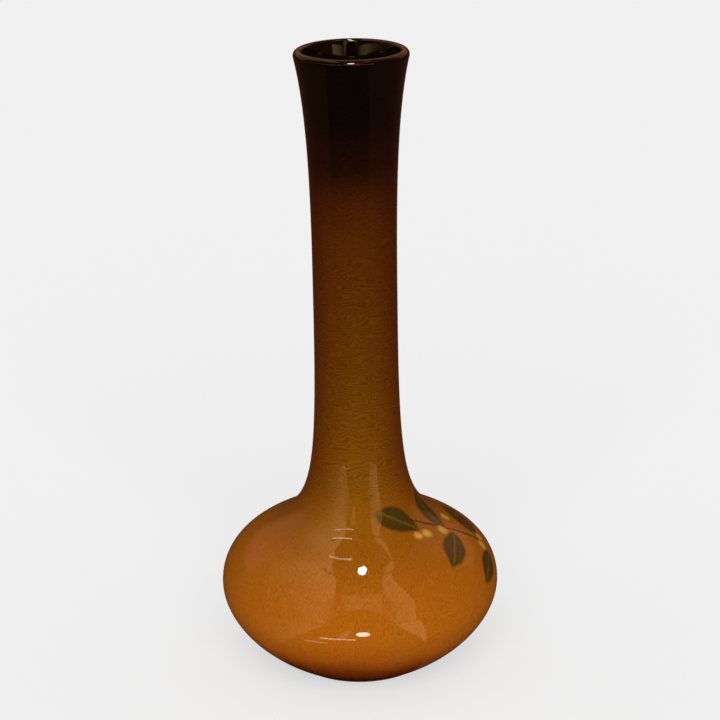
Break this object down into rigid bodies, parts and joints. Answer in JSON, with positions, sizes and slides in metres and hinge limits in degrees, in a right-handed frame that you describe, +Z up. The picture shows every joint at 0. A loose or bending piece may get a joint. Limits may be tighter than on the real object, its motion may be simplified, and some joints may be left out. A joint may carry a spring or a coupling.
{
  "type": "bud vase",
  "caption": "Glazed pottery bud vase: a squat round bulb on a small turned foot, its shoulder sweeping up into a tall narrow neck with a gently flared, rolled lip.",
  "frame": {"origin": "centre of the foot ring's flat underside, where the vase stands", "axes": "+Z up along the pot's axis of turning, out of the mouth; the pot is round, and -Y faces the camera of the picture"},
  "size_m": [0.085, 0.085, 0.1918],
  "materials": {
    "amber_glaze": "high-gloss amber brown glaze with a fine craze, unglazed on the foot ring",
    "dark_glaze": "high-gloss glaze with a fine craze, olive brown low on the neck and nearly black at the lip"
  },
  "bodies": {
    "root": {"thrown_bulb": "amber_glaze", "thrown_neck": "dark_glaze"}
  },
  "joints": []
}
